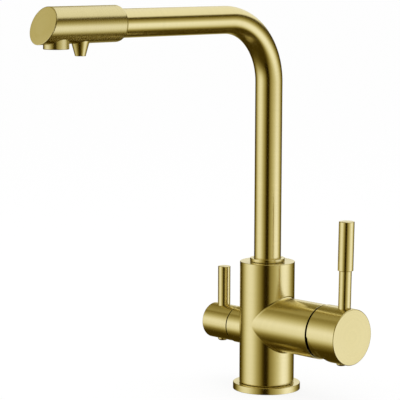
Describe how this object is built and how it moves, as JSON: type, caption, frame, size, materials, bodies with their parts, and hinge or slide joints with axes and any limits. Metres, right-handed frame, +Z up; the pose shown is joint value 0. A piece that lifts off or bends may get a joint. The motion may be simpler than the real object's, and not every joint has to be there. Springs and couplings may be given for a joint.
{
  "type": "three way filtered water tap",
  "caption": "Deck mounted kitchen tap with a swivelling spout, a mixer lever on its larger arm, a filtered water lever on its smaller arm and separate outlets under the spout head.",
  "frame": {"origin": "centre of the tap's underside, on the worktop, on the axis of the body and of the spout's swivel", "axes": "+Z up along the body; the spout points along -Y, the mixer arm and its lever cap along +X and the filter valve arm along -X"},
  "size_m": [0.173, 0.2991, 0.3539],
  "materials": {
    "brushed_gold": "satin brushed, pale yellow gold",
    "raw_brass": "machined, unpolished",
    "copper": "drawn copper tube",
    "steel": "plain stainless",
    "ceramic": "lapped, unglazed",
    "black_rubber": "moulded black rubber",
    "white_plastic": "moulded, matte",
    "grey_plastic": "moulded, matte"
  },
  "bodies": {
    "tap_body": {"main_body": "brushed_gold", "base_flange": "brushed_gold", "mixer_dome_ring": "brushed_gold", "spout_collar": "brushed_gold", "inlet_plate": "raw_brass", "cartridge_seat": "raw_brass", "cartridge_lock_nut": "raw_brass", "filter_valve_seat": "raw_brass", "filter_headwork": "raw_brass", "hot_supply_pipe": "copper", "cold_supply_pipe": "copper", "mixed_water_pipe": "copper", "filter_supply_pipe": "copper", "filtered_water_pipe": "copper", "fixed_ceramic_disc": "ceramic", "filter_fixed_disc": "ceramic", "base_gasket": "black_rubber", "port_seal_hot": "black_rubber", "port_seal_cold": "black_rubber", "port_seal_outlet": "black_rubber", "cartridge_base": "white_plastic", "cartridge_shell": "grey_plastic"},
    "mixer_rotor": {"cartridge_rotor": "white_plastic", "stem_pivot_pin": "steel"},
    "moving_disc": {"moving_ceramic_disc": "ceramic"},
    "mixer_handle": {"mixer_stem": "raw_brass", "mixer_cap": "brushed_gold", "cap_grub_screw": "steel", "cap_screw_plug": "brushed_gold", "lever_rod": "brushed_gold", "lever_grip": "brushed_gold"},
    "filter_handle": {"filter_turning_disc": "ceramic", "filter_spindle": "raw_brass", "filter_spindle_o_ring": "black_rubber", "filter_spindle_clip": "steel", "filter_cap": "brushed_gold", "filter_lever": "brushed_gold", "filter_grub_screw": "steel", "filter_screw_plug": "brushed_gold"},
    "spout": {"spout_slide_ring": "white_plastic", "spout_foot": "raw_brass", "spout_o_ring_lower": "black_rubber", "spout_o_ring_upper": "black_rubber", "spigot_o_ring": "black_rubber", "spout_tube": "brushed_gold", "filtered_water_tube": "white_plastic", "spout_head": "brushed_gold", "head_o_ring": "black_rubber", "head_end_cap": "brushed_gold", "aerator_housing": "brushed_gold", "aerator_insert": "grey_plastic", "aerator_seal": "black_rubber", "filter_nozzle": "brushed_gold", "nozzle_insert": "grey_plastic", "nozzle_connector": "raw_brass"}
  },
  "joints": [
    {"name": "spout_swivel", "type": "hinge", "parent": "tap_body", "child": "spout", "pos_m": [0, 0, 0.12], "axis": [0, 0, 1], "continuous": true},
    {"name": "mixer_turn", "type": "hinge", "parent": "tap_body", "child": "mixer_rotor", "pos_m": [0.074, 0, 0.0622], "axis": [1, 0, 0], "range_deg": [-45, 45]},
    {"name": "mixer_tilt", "type": "hinge", "parent": "mixer_rotor", "child": "mixer_handle", "pos_m": [0.074, 0, 0.0622], "axis": [0, 1, 0], "range_deg": [0, 25]},
    {"name": "disc_slide", "type": "slide", "parent": "mixer_rotor", "child": "moving_disc", "axis": [0, 0, 1], "range_m": [0, 0.0063]},
    {"name": "filter_turn", "type": "hinge", "parent": "tap_body", "child": "filter_handle", "pos_m": [-0.05, 0, 0.0544], "axis": [1, 0, 0], "range_deg": [0, 90]}
  ],
  "couplings": [
    {"joint": "disc_slide", "follows": "mixer_tilt", "m_per_rad": 0.01433}
  ]
}
